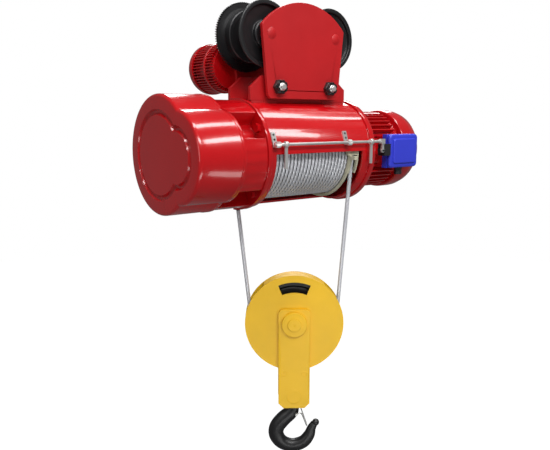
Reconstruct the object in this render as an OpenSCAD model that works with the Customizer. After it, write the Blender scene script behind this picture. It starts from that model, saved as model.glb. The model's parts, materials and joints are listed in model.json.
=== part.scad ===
// Electric wire rope hoist on a four-wheel beam trolley, two falls of rope, about 2 t.
// Millimetres. The origin is on the beam seat: midway between the four wheels, at the height
// where their treads touch the beam's lower flange. +X points to the hoist motor, -Y is the
// front, where the rope window and the terminal box are, and +Z is up.

/* [Trolley] */
// Radius of the wheel treads
tread_r = 70; // [69.5:0.1:70]
// Distance of each wheel axle from the trolley's middle
wheel_x = 114; // [114:0.05:114.2]
// Outer face of the wheel flanges, from the middle of the beam
flange_y = 53; // [52:0.5:55]
// Outer face of the side plates, from the middle of the beam
plate_y = 75; // [74:0.5:78]
// Thickness of the side plates and of the hanger plates
plate_t = 11; // [10:0.5:12]
// Distance of each tie bolt from the trolley's middle
tie_x = 90; // [85:1:95]

/* [Drum] */
// Distance of the drum's axis below the beam seat
drum_drop = 248; // [245:1:255]
// Radius of the drum under the rope
drum_r = 115.7; // [115.2:0.1:115.8]
// Diameter of the wire rope
rope_d = 12; // [11.6:0.1:12]
// Distance between neighbouring turns of rope
rope_pitch = 12.5; // [12.4:0.1:12.6]
// Outer radius of the drum casing
casing_r = 148; // [147:0.5:149]

/* [Gearbox] */
// Radius of the large lobe of the gear cover
cover_r = 155; // [154:0.5:158]
// Radius of the front lobe of the gear cover
lobe_r = 118; // [117:0.5:120]

/* [Hoist motor] */
// Radius over the cooling fins
fin_r = 118; // [114:1:119]
// Number of cooling fins
fins = 44; // [30:1:48]
// Radius of the fan cover
fan_cover_r = 123; // [120:1:125]

/* [Hook block] */
// Distance of the sheave's axle below the drum's axis, hook raised
block_drop = 509; // [490:1:520]
// Radius of the rope's centre line round the sheave
sheave_r = 128; // [126:1:129]
// Radius of the block's round covers
block_r = 148; // [147:0.5:150]
// Width of the block's straps
strap_w = 95; // [90:1:98]

/* [Hidden] */
$fn = 48;

red = "#b3141a";
blue = "#2a3cc0";
yellow = "#e0a81c";
black = "#202224";
zinc = "#a9acb0";
steel = "#8d9094";
khaki = "#c9c6ae";

clear = 0.05;               // radial clearance of a shaft in its bearing
rope_r = rope_d / 2;
pitch_r = 122;              // rope centre line on the drum

// Stations along the drum line, from the gear cover to the fan cover
cover_x = -414.7;
case_x = -294;
waist_x = -286;
casing_x0 = -169.5;
casing_x1 = 189;
ring_x1 = 207;
motor_x1 = 359;
fan_x0 = 367;
fan_x1 = 450;
window_x0 = -154;
window_x1 = 160;

// The two lobes of the gear cover, as [y, z] on the drum line
big_c = [5, 5];
lobe_c = [-85, 3];
wall = 8;

// Three-stage gear train: teeth and module of each pair
pinion_t = 14;
gear1_t = 58;
gear1_m = 2;
gear2_t = 56;
gear2_m = 2.5;
gear3_t = 56;
gear3_m = 3;
leg1 = (pinion_t + gear1_t) * gear1_m / 2;
leg2 = (pinion_t + gear2_t) * gear2_m / 2;
leg3 = (pinion_t + gear3_t) * gear3_m / 2;
c_angle = 180 + 16.6;       // direction of the second countershaft from the drum's axis
c_pos = leg3 * [cos(c_angle), sin(c_angle)];
b_swing = acos((leg1 * leg1 + leg3 * leg3 - leg2 * leg2) / (2 * leg1 * leg3));
b_pos = leg1 * [cos(c_angle - b_swing), sin(c_angle - b_swing)];
// Stations of the three gear stages
stage1_x = [-388, -368];
stage2_x = [-356, -331];
stage3_x = [-278, -240];
// Angles of the four bolt pockets round the waist, [from, to]
pockets = [[130, 161], [217, 246], [294, 323], [19, 50]];
function bearing_angle(a, b) = atan2(b[1] - a[1], b[0] - a[0]);

// Rope on the drum: 22 turns, of which the last ones pay out
turn_x0 = -134.6;
reserve_turns = 5;
all_turns = 22;
guide_x0 = 110;
guide_x1 = 153.6;
live_top = [142, -pitch_r, 0];
dead_top = [-123, 78, -168];
fall_gap = live_top - dead_top;
block_yaw = atan2(fall_gap[1], fall_gap[0]);
half_gap = sqrt(fall_gap[0] * fall_gap[0] + fall_gap[1] * fall_gap[1]) / 2;
block_c = [(live_top[0] + dead_top[0]) / 2, (live_top[1] + dead_top[1]) / 2, -block_drop];
// Where a fall from the point (a, h) touches the sheave, as an angle from the horizontal
function touch(a, h) = atan2(h, a) - acos(sheave_r / sqrt(a * a + h * h));
live_touch = touch(half_gap, live_top[2] + block_drop);
dead_touch = touch(half_gap, dead_top[2] + block_drop);

// Limit rod
rod_y = -160;
rod_z = 31;
rod_r = 4;
finger_x = [-133, 181];
lever_x = 229;
lever_z = 4;

// Terminal box
box_x = [267, 392];
box_y = [-161, -142, -124.5];
box_z = 50;

// Trolley
hang_y = 54;                // outer face of the hanger plates
tie_z = -68;
wheel_z = tread_r;
rim_m = 2;
rim_t = 92;
travel_t = 22;
out_pos = [0, wheel_z];
motor_pos = [-139, -10];
t1_gear = 62;
t2_gear = 54;
t_leg1 = (pinion_t + t1_gear) * 2 / 2;
t_leg2 = (pinion_t + t2_gear) * 2.5 / 2;
t_span = norm(out_pos - motor_pos);
t_dir = bearing_angle(motor_pos, out_pos);
t_swing = acos((t_leg1 * t_leg1 + t_span * t_span - t_leg2 * t_leg2) / (2 * t_leg1 * t_span));
idler_pos = motor_pos + t_leg1 * [cos(t_dir - t_swing), sin(t_dir - t_swing)];
gear_case_y = [plate_y + 1, plate_y + 37];
t_stage1_y = [gear_case_y[1] - 16, gear_case_y[1] - 6];
t_stage2_y = [gear_case_y[0] + 9, gear_case_y[0] + 19];
travel_end_y = 178;         // where the travel motor's cap starts
travel_fins = 28;

// ---- helpers -------------------------------------------------------------------------

// Extrudes an outline drawn as (y, z) from x0 to x1
module along_x(x0, x1)
    translate([x0, 0, 0]) rotate([90, 0, 90]) linear_extrude(x1 - x0) children();

// Extrudes an outline drawn as (x, z) from y0 to y1
module along_y(y0, y1)
    translate([0, y1, 0]) rotate([90, 0, 0]) linear_extrude(y1 - y0) children();

module rod_x(x0, x1, r, at = [0, 0])
    translate([x0, at[0], at[1]]) rotate([0, 90, 0]) cylinder(h = x1 - x0, r = r);

module rod_y(y0, y1, r, at = [0, 0])
    translate([at[0], y0, at[1]]) rotate([-90, 0, 0]) cylinder(h = y1 - y0, r = r);

module ring_x(x0, x1, r_out, r_in, at = [0, 0])
    difference() {
        rod_x(x0, x1, r_out, at);
        rod_x(x0 - 1, x1 + 1, r_in, at);
    }

module ring_y(y0, y1, r_out, r_in, at = [0, 0])
    difference() {
        rod_y(y0, y1, r_out, at);
        rod_y(y0 - 1, y1 + 1, r_in, at);
    }

// A turned piece: the profile is a list of [radius, station]
module turned_x(profile) rotate([0, 90, 0]) rotate_extrude($fn = 96) polygon(profile);
module turned_y(profile) rotate([-90, 0, 0]) rotate_extrude($fn = 96) polygon(profile);

// A straight round rope from one point to another
module rope_between(a, b) {
    d = b - a;
    flat = sqrt(d[0] * d[0] + d[1] * d[1]);
    translate(a)
        rotate([0, atan2(flat, d[2]), atan2(d[1], d[0])])
            cylinder(h = norm(d), r = rope_r);
}

// A spur gear outline with straight-sided teeth and backlash, one tooth at the angle phase
function tooth(teeth, m, middle) =
    let (
        rp = teeth * m / 2,
        per_mm = 180 / (PI * rp),
        at_pitch = 0.46 * PI * m / 2 * per_mm,
        at_tip = at_pitch - 0.262 * m * per_mm,
        at_root = at_pitch + 0.23 * m * per_mm,
        tip = rp + 0.8 * m,
        root = rp - 1.15 * m
    )
    [for (k = [[-at_root, root], [-at_pitch, rp], [-at_tip, tip],
               [at_tip, tip], [at_pitch, rp], [at_root, root]])
        k[1] * [cos(middle + k[0]), sin(middle + k[0])]];

module spur(teeth, m, phase)
    polygon([for (i = [0 : teeth - 1]) each tooth(teeth, m, phase + 360 * i / teeth)]);

module on_drum_line() translate([0, 0, -drum_drop]) children();

module on_block() on_drum_line() translate(block_c) rotate([0, 0, block_yaw]) children();

// ---- gearbox ---------------------------------------------------------------------------

// The cover's outline as two round lobes, from x0 to x1, grown by more
module lobes(x0, x1, more = 0) {
    rod_x(x0, x1, cover_r + more, big_c, $fn = 96);
    rod_x(x0, x1, lobe_r + more, lobe_c, $fn = 96);
}

module lobe_chamfer(x0, x1, less) {
    for (lobe = [[big_c, cover_r], [lobe_c, lobe_r]])
        translate([x0, lobe[0][0], lobe[0][1]])
            rotate([0, 90, 0]) cylinder(h = x1 - x0, r1 = lobe[1] - less, r2 = lobe[1]);
}

module gear_cover() color(red) on_drum_line() difference() {
    union() {
        difference() {
            union() {
                lobe_chamfer(cover_x, cover_x + 9, 9);
                lobes(cover_x + 9, case_x);
            }
            lobes(cover_x + wall, case_x + 1, -wall);
        }
        // Bearing bosses inside the end wall
        for (at = [[0, 0], b_pos, c_pos])
            rod_x(cover_x + wall - 1, cover_x + 24, 24, at);
    }
    for (at = [[0, 0], b_pos, c_pos])
        rod_x(cover_x + wall + 2, cover_x + 25, 17, at);
}

module sector(r, a0, a1)
    polygon([[0, 0], for (i = [0 : 4]) r * [cos(a0 + (a1 - a0) * i / 4), sin(a0 + (a1 - a0) * i / 4)]]);

module gear_case() color(red) on_drum_line() difference() {
    union() {
        lobes(case_x, waist_x);
        rod_x(waist_x - 1, casing_x0 - 11, 146, $fn = 96);
        rod_x(casing_x0 - 12, casing_x0, 151.5, $fn = 96);
    }
    // Hollow of the last gear stage, and of the pinion beside it
    rod_x(waist_x, casing_x0 - 11, 94);
    rod_x(waist_x, casing_x0 - 30, 27.5, c_pos);
    // Pockets for the flange bolts
    for (p = pockets)
        along_x(waist_x + 2, casing_x0 - 12) difference() {
            sector(190, p[0], p[1]);
            circle(r = 104);
        }
    // Bearing seats and the holes for the shafts
    rod_x(case_x - 1, waist_x + 1, 17, b_pos);
    rod_x(case_x - 1, waist_x + 1, 22);
    rod_x(case_x - 1, waist_x + 1, 25, c_pos);
    rod_x(casing_x0 - 31, casing_x0 - 20, 17, c_pos);
    rod_x(casing_x0 - 12, casing_x0 + 1, 44);
    for (p = pockets)
        rod_x(casing_x0 - 13, casing_x0 + 1, 7.1, 128 * [cos((p[0] + p[1]) / 2), sin((p[0] + p[1]) / 2)]);
}

module case_bolts() color(zinc) on_drum_line()
    for (p = pockets) {
        at = 128 * [cos((p[0] + p[1]) / 2), sin((p[0] + p[1]) / 2)];
        rod_x(casing_x0 - 12.5, casing_x0 + 9, 7, at);
        translate([casing_x0 - 21, at[0], at[1]]) rotate([0, 90, 0]) cylinder(h = 9, r = 12, $fn = 6);
    }

module main_shaft() color(steel) on_drum_line() {
    ring_x(155, 178, 20, 12 + clear);
    difference() {
        rod_x(cover_x + 12, 165, 10);
        rod_x(164.5, 166, 13);
    }
    ring_x(150, 156, 20, 9);
    along_x(stage1_x[0], stage1_x[1]) spur(pinion_t, gear1_m, bearing_angle([0, 0], b_pos));
}

module countershaft_1() color(steel) on_drum_line() {
    rod_x(cover_x + 12, waist_x - 1, 10, b_pos);
    translate([0, b_pos[0], b_pos[1]]) {
        along_x(stage1_x[0], stage1_x[1])
            spur(gear1_t, gear1_m, bearing_angle(b_pos, [0, 0]) + 180 / gear1_t);
        along_x(stage2_x[0], stage2_x[1]) spur(pinion_t, gear2_m, bearing_angle(b_pos, c_pos));
    }
}

module countershaft_2() color(steel) on_drum_line() {
    rod_x(cover_x + 12, casing_x0 - 21, 10, c_pos);
    translate([0, c_pos[0], c_pos[1]]) {
        along_x(stage2_x[0], stage2_x[1])
            spur(gear2_t, gear2_m, bearing_angle(c_pos, b_pos) + 180 / gear2_t);
        along_x(stage3_x[0], stage3_x[1]) spur(pinion_t, gear3_m, bearing_angle(c_pos, [0, 0]));
    }
}

module output_gear() color(steel) on_drum_line() difference() {
    union() {
        along_x(stage3_x[0], stage3_x[1])
            spur(gear3_t, gear3_m, bearing_angle([0, 0], c_pos) + 180 / gear3_t);
        rod_x(stage3_x[1] - 1, -128, 30 - clear);
    }
    rod_x(stage3_x[0] - 1, -127, 14);
}

module bearings() color(steel) {
    on_drum_line() {
        for (at = [[0, 0], b_pos, c_pos])
            ring_x(cover_x + 12, cover_x + 23, 17 - clear, 10 + clear, at);
        ring_x(case_x, waist_x, 17 - clear, 10 + clear, b_pos);
        ring_x(casing_x0 - 30, casing_x0 - 20, 17 - clear, 10 + clear, c_pos);
        ring_x(casing_x0 - 10, casing_x0, 44 - clear, 30, [0, 0]);
        // Drum bearing and motor bearings
        ring_x(170, 180, 40 - clear, 28 + clear);
        ring_x(188, 200, 22 - clear, 12 + clear);
        ring_x(346, 358, 22 - clear, 12 + clear);
    }
    for (x = [-wheel_x, wheel_x], side = [-1, 1])
        ring_y(min(side * 20, side * 44), max(side * 20, side * 44), 20 - clear, 14 + clear, [x, wheel_z]);
    // Travel gear case: output shaft and idler
    ring_y(plate_y - 11, plate_y - 1, 18 - clear, 10 + clear, out_pos);
    ring_y(plate_y + 6, plate_y + 9.5, 17 - clear, 8 + clear, idler_pos);
}

// ---- drum and casing ---------------------------------------------------------------------

// Window of the casing, from the front edge round the bottom to the rear lip
module window()
    along_x(window_x0, window_x1)
        polygon([[0, 5], [-200, 5], [-200, -200], [29, -200], [0, 0]]);

module drum_shell() color(red) on_drum_line() difference() {
    union() {
        rod_x(casing_x0, casing_x1, casing_r, $fn = 96);
        rod_x(casing_x1, ring_x1, 152.5, $fn = 96);
    }
    difference() {
        rod_x(casing_x0 + 11, casing_x1 - 4, casing_r - 6, $fn = 96);
        for (p = pockets)
            rod_x(casing_x0, casing_x0 + 20, 15, 128 * [cos((p[0] + p[1]) / 2), sin((p[0] + p[1]) / 2)]);
    }
    rod_x(casing_x0 - 1, casing_x0 + 12, 112);
    rod_x(casing_x1 - 5, ring_x1 + 1, 118);
    window();
    for (p = pockets)
        rod_x(casing_x0 - 1, casing_x0 + 10, 7.05, 128 * [cos((p[0] + p[1]) / 2), sin((p[0] + p[1]) / 2)]);
}

module drum() color(steel) on_drum_line() difference() {
    union() {
        difference() {
            union() {
                rod_x(-148, 165, drum_r, $fn = 96);
                rod_x(-148, -143, 128, $fn = 96);
            }
            rod_x(-138, 157, drum_r - 10, $fn = 96);
        }
        rod_x(-158, -124, 46);
        rod_x(157, 182, 50);
    }
    rod_x(-159, -123, 30);
    rod_x(156, 168, 24);
    rod_x(167, 183, 40);
}

// One layer of turns, numbered from the reducer end, over a thin sleeve
module turns(first, last)
    rotate([0, 90, 0]) rotate_extrude($fn = 96) {
        for (i = [first : last])
            translate([pitch_r, turn_x0 + i * rope_pitch]) circle(r = rope_r, $fn = 24);
        translate([pitch_r - 5, turn_x0 + first * rope_pitch])
            square([4, (last - first) * rope_pitch]);
    }

module rope_reserve() color(zinc) on_drum_line() turns(0, reserve_turns - 1);
module rope_layer() color(zinc) on_drum_line() turns(reserve_turns, all_turns - 1);

module live_fall() color(zinc) on_block()
    rope_between([half_gap, 0, block_drop], sheave_r * [cos(live_touch), 0, sin(live_touch)]);

module dead_fall() color(zinc) on_block()
    rope_between([-half_gap, 0, block_drop + dead_top[2]],
                 sheave_r * [-cos(dead_touch), 0, sin(dead_touch)]);

module rope_bight() color(zinc) on_block()
    rotate([90, 0, 0]) rotate([0, 0, 180 - dead_touch])
        rotate_extrude(angle = 180 + live_touch + dead_touch, $fn = 96)
            translate([sheave_r, 0]) circle(r = rope_r, $fn = 24);

// ---- rope guide and limit rod ----------------------------------------------------------------

module rope_guide() color(khaki) on_drum_line() difference() {
    union() {
        along_x(guide_x0, guide_x1) intersection() {
            difference() {
                circle(r = 138.5);
                circle(r = 129);
            }
            sector(190, 150, 226);
        }
        translate([guide_x0 + 16, -159, -20]) cube([14, 22, 12]);
    }
    translate([live_top[0] - 13, -150, -88]) cube([23, 45, 74]);
}

module guide_ring() color(khaki) on_drum_line()
    along_x(guide_x0 + 2, guide_x0 + 12) difference() {
        circle(r = 138.2, $fn = 96);
        circle(r = 129.2, $fn = 96);
        sector(190, 149.8, 226.2);
    }

module limit_rod() color(zinc) on_drum_line() {
    rod_x(-170, 222, rod_r, [rod_y, rod_z]);
    // Fork and pin at the lever end
    for (side = [-1, 1])
        translate([220, rod_y + side * 4.5 - 1.5, rod_z - 7]) cube([14, 3, 14]);
    translate([219, rod_y - 6, rod_z - 4]) cube([3, 12, 8]);
    rod_y(rod_y - 6, rod_y + 6, 2, [lever_x, rod_z]);
}

module stop_fingers() color(zinc) on_drum_line()
    for (x = finger_x) {
        ring_x(x - 5, x + 5, 8, rod_r, [rod_y, rod_z]);
        translate([x - 4.5, rod_y - 2, rod_z - 62]) cube([9, 4, 55]);
    }

module rod_brackets() color(zinc) on_drum_line()
    for (x = [-160, 93])
        difference() {
            union() {
                rotate([-18.9, 0, 0]) {
                    translate([x - 7, -151.6, -26]) cube([14, 3.4, 40]);
                    translate([x - 7, -160, -26]) cube([14, 9, 4]);
                }
                rod_x(x - 7, x + 7, 8, [rod_y, rod_z]);
            }
            rod_x(x - 8, x + 8, rod_r + clear, [rod_y, rod_z]);
            for (h = [-6, 7])
                rotate([-18.9, 0, 0]) rod_y(-153, -147.8, 3, [x, h]);
            rod_x(x - 8, x + 8, casing_r + 0.1, $fn = 96);
        }

module limit_lever() color(zinc) on_drum_line() difference() {
    union() {
        rod_y(rod_y - 2.5, rod_y + 2.5, 6, [lever_x, lever_z]);
        translate([lever_x - 4.5, rod_y - 2.5, lever_z]) cube([9, 5, rod_z - lever_z + 5]);
    }
    translate([lever_x - 2.5, rod_y - 3, rod_z - 2.6]) cube([5, 6, 6.6]);
    rod_y(rod_y - 3, rod_y + 3, 3 + clear, [lever_x, lever_z]);
}

module limit_switch() color(black) on_drum_line() {
    translate([240, -158, -12]) cube([box_x[0] - 240, 26, 34]);
    rod_y(rod_y - 5, rod_y + 10, 3, [lever_x, lever_z]);
    translate([lever_x - 5, rod_y + 5, lever_z - 5]) cube([17, 10, 10]);
}

module rope_anchor() color(red) on_drum_line() {
    difference() {
        translate([dead_top[0] - 6, 64, -160]) cube([12, 28, 50]);
        rod_x(dead_top[0] - 8, dead_top[0] + 8, casing_r, $fn = 96);
        rod_x(dead_top[0] - 8, dead_top[0] + 8, 5, [78, -148]);
    }
    for (side = [-1, 1])
        translate([dead_top[0] + side * 9 - 2.5, 70, -167]) cube([5, 16, 27]);
    rod_x(dead_top[0] - 15, dead_top[0] + 15, 5, [78, -148]);
    translate([dead_top[0] - 11.5, 70, -167]) cube([23, 16, 6]);
}

// ---- hoist motor -----------------------------------------------------------------------------

module motor_shield() color(red) on_drum_line() difference() {
    union() {
        rod_x(188, ring_x1, 118 - clear, $fn = 96);
        rod_x(ring_x1, ring_x1 + 5, 130, $fn = 96);
        rod_x(168, 190, 28);
    }
    rod_x(187, ring_x1 + 6, 22);
    rod_x(167, 188, 21);
    rod_x(200, ring_x1 + 6, 84);
}

module motor_frame() color(red) on_drum_line() difference() {
    union() {
        rod_x(ring_x1 + 5, motor_x1, 100, $fn = 96);
        difference() {
            for (i = [0 : fins - 1])
                rotate([360 * i / fins, 0, 0])
                    translate([ring_x1 + 12, 96, -1.6]) cube([motor_x1 - ring_x1 - 22, fin_r - 96, 3.2]);
            translate([240, -200, -56]) cube([200, 102, 112]);
        }
        translate([box_x[0] + 8, box_y[2], -42]) cube([motor_x1 - box_x[0] - 14, 40, 84]);
    }
    rod_x(ring_x1 + 4, motor_x1 - 10, 84, $fn = 96);
    rod_x(motor_x1 - 14, motor_x1 + 1, 22);
}

module motor_stator() color(steel) on_drum_line() difference() {
    union() {
        rod_x(230, 330, 84 - clear, $fn = 96);
        rod_x(218, 342, 78);
    }
    rod_x(210, 350, 62);
}

module motor_rotor() color(steel) on_drum_line() {
    rod_x(166, 432, 12);
    difference() {
        rod_x(230, 330, 61);
        rod_x(229, 231, 45);
        rod_x(329, 331, 45);
    }
}

module motor_fan() color(black) on_drum_line() {
    ring_x(384, 410, 24, 12);
    ring_x(384, 388, 104, 12);
    for (i = [0 : 11])
        rotate([30 * i, 0, 0]) translate([387, 22, -1.5]) cube([22, 78, 3]);
    ring_x(372, 385, 104, 90);
}

module fan_cover() color(red) on_drum_line()
    turned_x([
        [fan_cover_r, fan_x0], [fan_cover_r, fan_x1 - 38], [fan_cover_r - 8, fan_x1 - 12],
        [fan_cover_r - 16, fan_x1], [20, fan_x1], [20, fan_x1 - 4], [fan_cover_r - 19, fan_x1 - 4],
        [fan_cover_r - 12, fan_x1 - 14], [fan_cover_r - 4, fan_x1 - 39], [fan_cover_r - 4, fan_x0 + 4],
        [98, fan_x0 + 4], [98, motor_x1], [102, motor_x1], [102, fan_x0]
    ]);

module terminal_box() color(blue) on_drum_line() difference() {
    translate([box_x[0], box_y[1], -box_z]) cube([box_x[1] - box_x[0], box_y[2] - box_y[1], 2 * box_z]);
    translate([box_x[0] + 5, box_y[1] - 1, 5 - box_z])
        cube([box_x[1] - box_x[0] - 10, box_y[2] - box_y[1] - 4, 2 * box_z - 10]);
    translate([(box_x[0] + box_x[1]) / 2, (box_y[1] + box_y[2]) / 2, -box_z - 1]) cylinder(h = 8, r = 8);
}

module terminal_cover() color(blue) on_drum_line() difference() {
    union() {
        along_y(box_y[0] + 4, box_y[1]) rounded_box_outline(0);
        along_y(box_y[0], box_y[0] + 5) rounded_box_outline(-14);
    }
    along_y(box_y[0] + 8, box_y[1] + 1) rounded_box_outline(-5);
}

// Outline of the terminal cover with round corners, grown by more
module rounded_box_outline(more) {
    r = 14 + more / 2;
    for (x = [box_x[0] - more + r, box_x[1] + more - r], z = [more - r + box_z, r - more - box_z])
        translate([x, z]) circle(r = r);
    translate([box_x[0] - more, r - more - box_z])
        square([box_x[1] - box_x[0] + 2 * more, 2 * (box_z + more - r)]);
    translate([box_x[0] - more + r, -more - box_z])
        square([box_x[1] - box_x[0] + 2 * more - 2 * r, 2 * (box_z + more)]);
}

module cable_gland() color(black) on_drum_line()
    translate([(box_x[0] + box_x[1]) / 2, (box_y[1] + box_y[2]) / 2, -box_z - 22]) difference() {
        union() {
            cylinder(h = 28, r = 8 - clear);
            cylinder(h = 12, r = 11.5);
            translate([0, 0, 14]) cylinder(h = 8, r = 12.5, $fn = 6);
        }
        translate([0, 0, -1]) cylinder(h = 30, r = 5);
    }

// ---- trolley -------------------------------------------------------------------------------------

module hanger_outline()
    difference() {
        polygon([
            [-169, drum_drop - 352.4], [171, drum_drop - 352.4], [171, -69], [131, -38],
            [-131, -38], [-169, -69]
        ]);
        for (x = [-tie_x, tie_x]) translate([x, tie_z]) circle(r = 11 + clear);
    }

// Hanger plate with two feet that reach down to the casing
module hanger(y0) color(red) {
    along_y(y0, y0 + plate_t) hanger_outline();
    difference() {
        for (x = [-105, 105])
            translate([x - 22, y0 - 2, -125]) cube([44, plate_t + 4, 22]);
        on_drum_line() rod_x(-200, 200, casing_r, $fn = 96);
    }
}

module hanger_front() hanger(-hang_y);
module hanger_rear() hanger(hang_y - plate_t);

module plate_outline() {
    arc_r = (145 * 145 + 65 * 65) / (2 * 65);
    intersection() {
        polygon([[-118, -98.5], [118, -98.5], [126, -90], [145, 92], [145, 170], [-145, 170], [-145, 92],
                 [-126, -90]]);
        translate([0, 157 - arc_r]) circle(r = arc_r, $fn = 120);
    }
}

module trolley_plate(y0, extra) color(red) along_y(y0, y0 + plate_t) difference() {
    plate_outline();
    for (x = [-tie_x, tie_x]) translate([x, tie_z]) circle(r = 11 + clear);
    for (x = [-wheel_x, wheel_x]) translate([x, wheel_z]) circle(r = 14);
    if (extra) translate(out_pos) circle(r = 18);
}

module trolley_plate_front() trolley_plate(-plate_y, false);
module trolley_plate_rear() trolley_plate(plate_y - plate_t, true);

module tie_bolts() color(zinc)
    for (x = [-tie_x, tie_x]) rod_y(-plate_y - 24, plate_y + 24, 11, [x, tie_z]);

// Castle nuts, one on each end of each tie bolt
module tie_nuts() color(black)
    for (x = [-tie_x, tie_x], side = [-1, 1])
        translate([x, side * plate_y, tie_z]) rotate([-90 * side, 0, 0]) difference() {
            union() {
                cylinder(h = 11, r = 21, $fn = 6);
                cylinder(h = 18, r = 17);
            }
            translate([0, 0, -1]) cylinder(h = 20, r = 11 + clear);
            for (a = [0, 60, 120])
                rotate([0, 0, a]) translate([-25, -2.5, 12]) cube([50, 5, 10]);
        }

module tie_spacers() color(steel)
    for (x = [-tie_x, tie_x]) {
        ring_y(-plate_y + plate_t, -hang_y, 19, 11 + clear, [x, tie_z]);
        ring_y(-hang_y + plate_t, hang_y - plate_t, 17, 11 + clear, [x, tie_z]);
        ring_y(hang_y, plate_y - plate_t, 19, 11 + clear, [x, tie_z]);
    }

module wheel_axles() color(steel)
    for (x = [-wheel_x, wheel_x], side = [-1, 1]) {
        y0 = side < 0 ? -plate_y : 18;
        y1 = side < 0 ? -18 : plate_y;
        rod_y(y0, y1, 14, [x, wheel_z]);
        inner = side < 0 ? [-20, -17] : [17, 20];
        rod_y(inner[0], inner[1], 18, [x, wheel_z]);
    }

// Wheel with its flange outwards; front = -1, rear = 1
module wheel(x, side, rim) color(black)
    translate([x, 0, wheel_z]) mirror([0, side < 0 ? 1 : 0, 0]) turned_y([
        [20, 22], [32, 22], [32, 26], [58, 26], [58, 20], [tread_r - 2, 20], [tread_r, 22],
        [tread_r, 44], [rim - 1.5, 45.5], [rim, 47], [rim, flange_y - 1.5], [rim - 1.5, flange_y],
        [76, flange_y], [74, 44], [36, 40], [36, flange_y - 4], [32, flange_y - 2], [20, flange_y - 2]
    ]);

module geared_wheel(x, phase) color(black) {
    wheel(x, 1, 83);
    translate([x, 0, wheel_z]) along_y(45, flange_y + 3) difference() {
        spur(rim_t, rim_m, phase);
        circle(r = 76, $fn = 96);
    }
}

module wheel_front_left() wheel(-wheel_x, -1, 87.5);
module wheel_front_right() wheel(wheel_x, -1, 87.5);
module wheel_rear_left() geared_wheel(-wheel_x, 180 / rim_t);
module wheel_rear_right() geared_wheel(wheel_x, 180 + 180 / rim_t);

module link_outline(a, ra, b, rb) {
    dir = bearing_angle(a, b);
    lean = acos((ra - rb) / norm(b - a));
    low = [cos(dir - lean), sin(dir - lean)];
    high = [cos(dir + lean), sin(dir + lean)];
    translate(a) circle(r = ra, $fn = 96);
    translate(b) circle(r = rb, $fn = 96);
    polygon([a + (ra - 1.5) * low, b + (rb - 1.5) * low, b + (rb - 1.5) * high, a + (ra - 1.5) * high]);
}

module travel_gear_case() color(red) difference() {
    union() {
        along_y(gear_case_y[0], gear_case_y[1]) {
            link_outline(idler_pos, 74, out_pos, 79);
            link_outline(motor_pos, 60, idler_pos, 74);
        }
        for (at = [[-40, 66], [50, 20]])
            rod_y(plate_y, gear_case_y[0] + 1, 12, at);
    }
    along_y(gear_case_y[0] + 5, gear_case_y[1] - 5) {
        link_outline(idler_pos, 66, out_pos, 73);
        link_outline(motor_pos, 22, idler_pos, 66);
    }
    rod_y(plate_y - 1, gear_case_y[0] + 6, 18, out_pos);
    rod_y(gear_case_y[1] - 6, gear_case_y[1] + 1, 14, motor_pos);
    // Room for the tie bolt's nut
    rod_y(plate_y - 1, gear_case_y[1] + 1, 23, [-tie_x, tie_z]);
}

module travel_rotor() color(steel) {
    translate([motor_pos[0], 0, motor_pos[1]]) along_y(t_stage1_y[0], t_stage1_y[1])
        spur(pinion_t, 2, bearing_angle(motor_pos, idler_pos));
    rod_y(t_stage1_y[1] - 1, travel_end_y + 28, 8, motor_pos);
    rod_y(130, 168, 33, motor_pos);
}

module travel_idler() color(steel) {
    rod_y(plate_y + 6.3, gear_case_y[1] - 5.5, 8, idler_pos);
    translate([idler_pos[0], 0, idler_pos[1]]) {
        along_y(t_stage1_y[0], t_stage1_y[1])
            spur(t1_gear, 2, bearing_angle(idler_pos, motor_pos) + 180 / t1_gear);
        along_y(t_stage2_y[0], t_stage2_y[1])
            spur(pinion_t, 2.5, bearing_angle(idler_pos, out_pos));
    }
}

module travel_pinion() color(steel) {
    rod_y(42, gear_case_y[1] - 6, 10, out_pos);
    translate([out_pos[0], 0, out_pos[1]]) {
        along_y(45.5, flange_y + 3) spur(travel_t, rim_m, 0);
        along_y(t_stage2_y[0], t_stage2_y[1])
            spur(t2_gear, 2.5, bearing_angle(out_pos, idler_pos) + 180 / t2_gear);
    }
}

module travel_motor_frame() color(red) {
    y0 = gear_case_y[1];
    difference() {
        union() {
            rod_y(y0, y0 + 8, 70, motor_pos);
            rod_y(y0 + 7, travel_end_y, 56, motor_pos);
            for (i = [0 : travel_fins - 1])
                translate([motor_pos[0], 0, motor_pos[1]]) rotate([0, 360 * i / travel_fins, 0])
                    translate([52, y0 + 10, -1.3]) cube([18, travel_end_y - y0 - 16, 2.6]);
        }
        rod_y(y0 + 10, travel_end_y + 1, 48, motor_pos);
        rod_y(y0 - 1, y0 + 11, 14, motor_pos);
    }
    ring_y(132, 166, 48, 34, motor_pos);
}

module travel_motor_cap() color(red)
    translate([motor_pos[0], 0, motor_pos[1]]) turned_y([
        [72, travel_end_y], [72, travel_end_y + 9], [68, travel_end_y + 21], [57, travel_end_y + 31],
        [38, travel_end_y + 37], [0, travel_end_y + 38], [0, travel_end_y + 34], [37, travel_end_y + 33],
        [55, travel_end_y + 27], [64, travel_end_y + 18], [68, travel_end_y + 8], [68, travel_end_y + 4],
        [50, travel_end_y + 4], [50, travel_end_y]
    ]);

// ---- hook block, drawn about the sheave's axle: X across, Y away, Z up -----------------------------------

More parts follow.
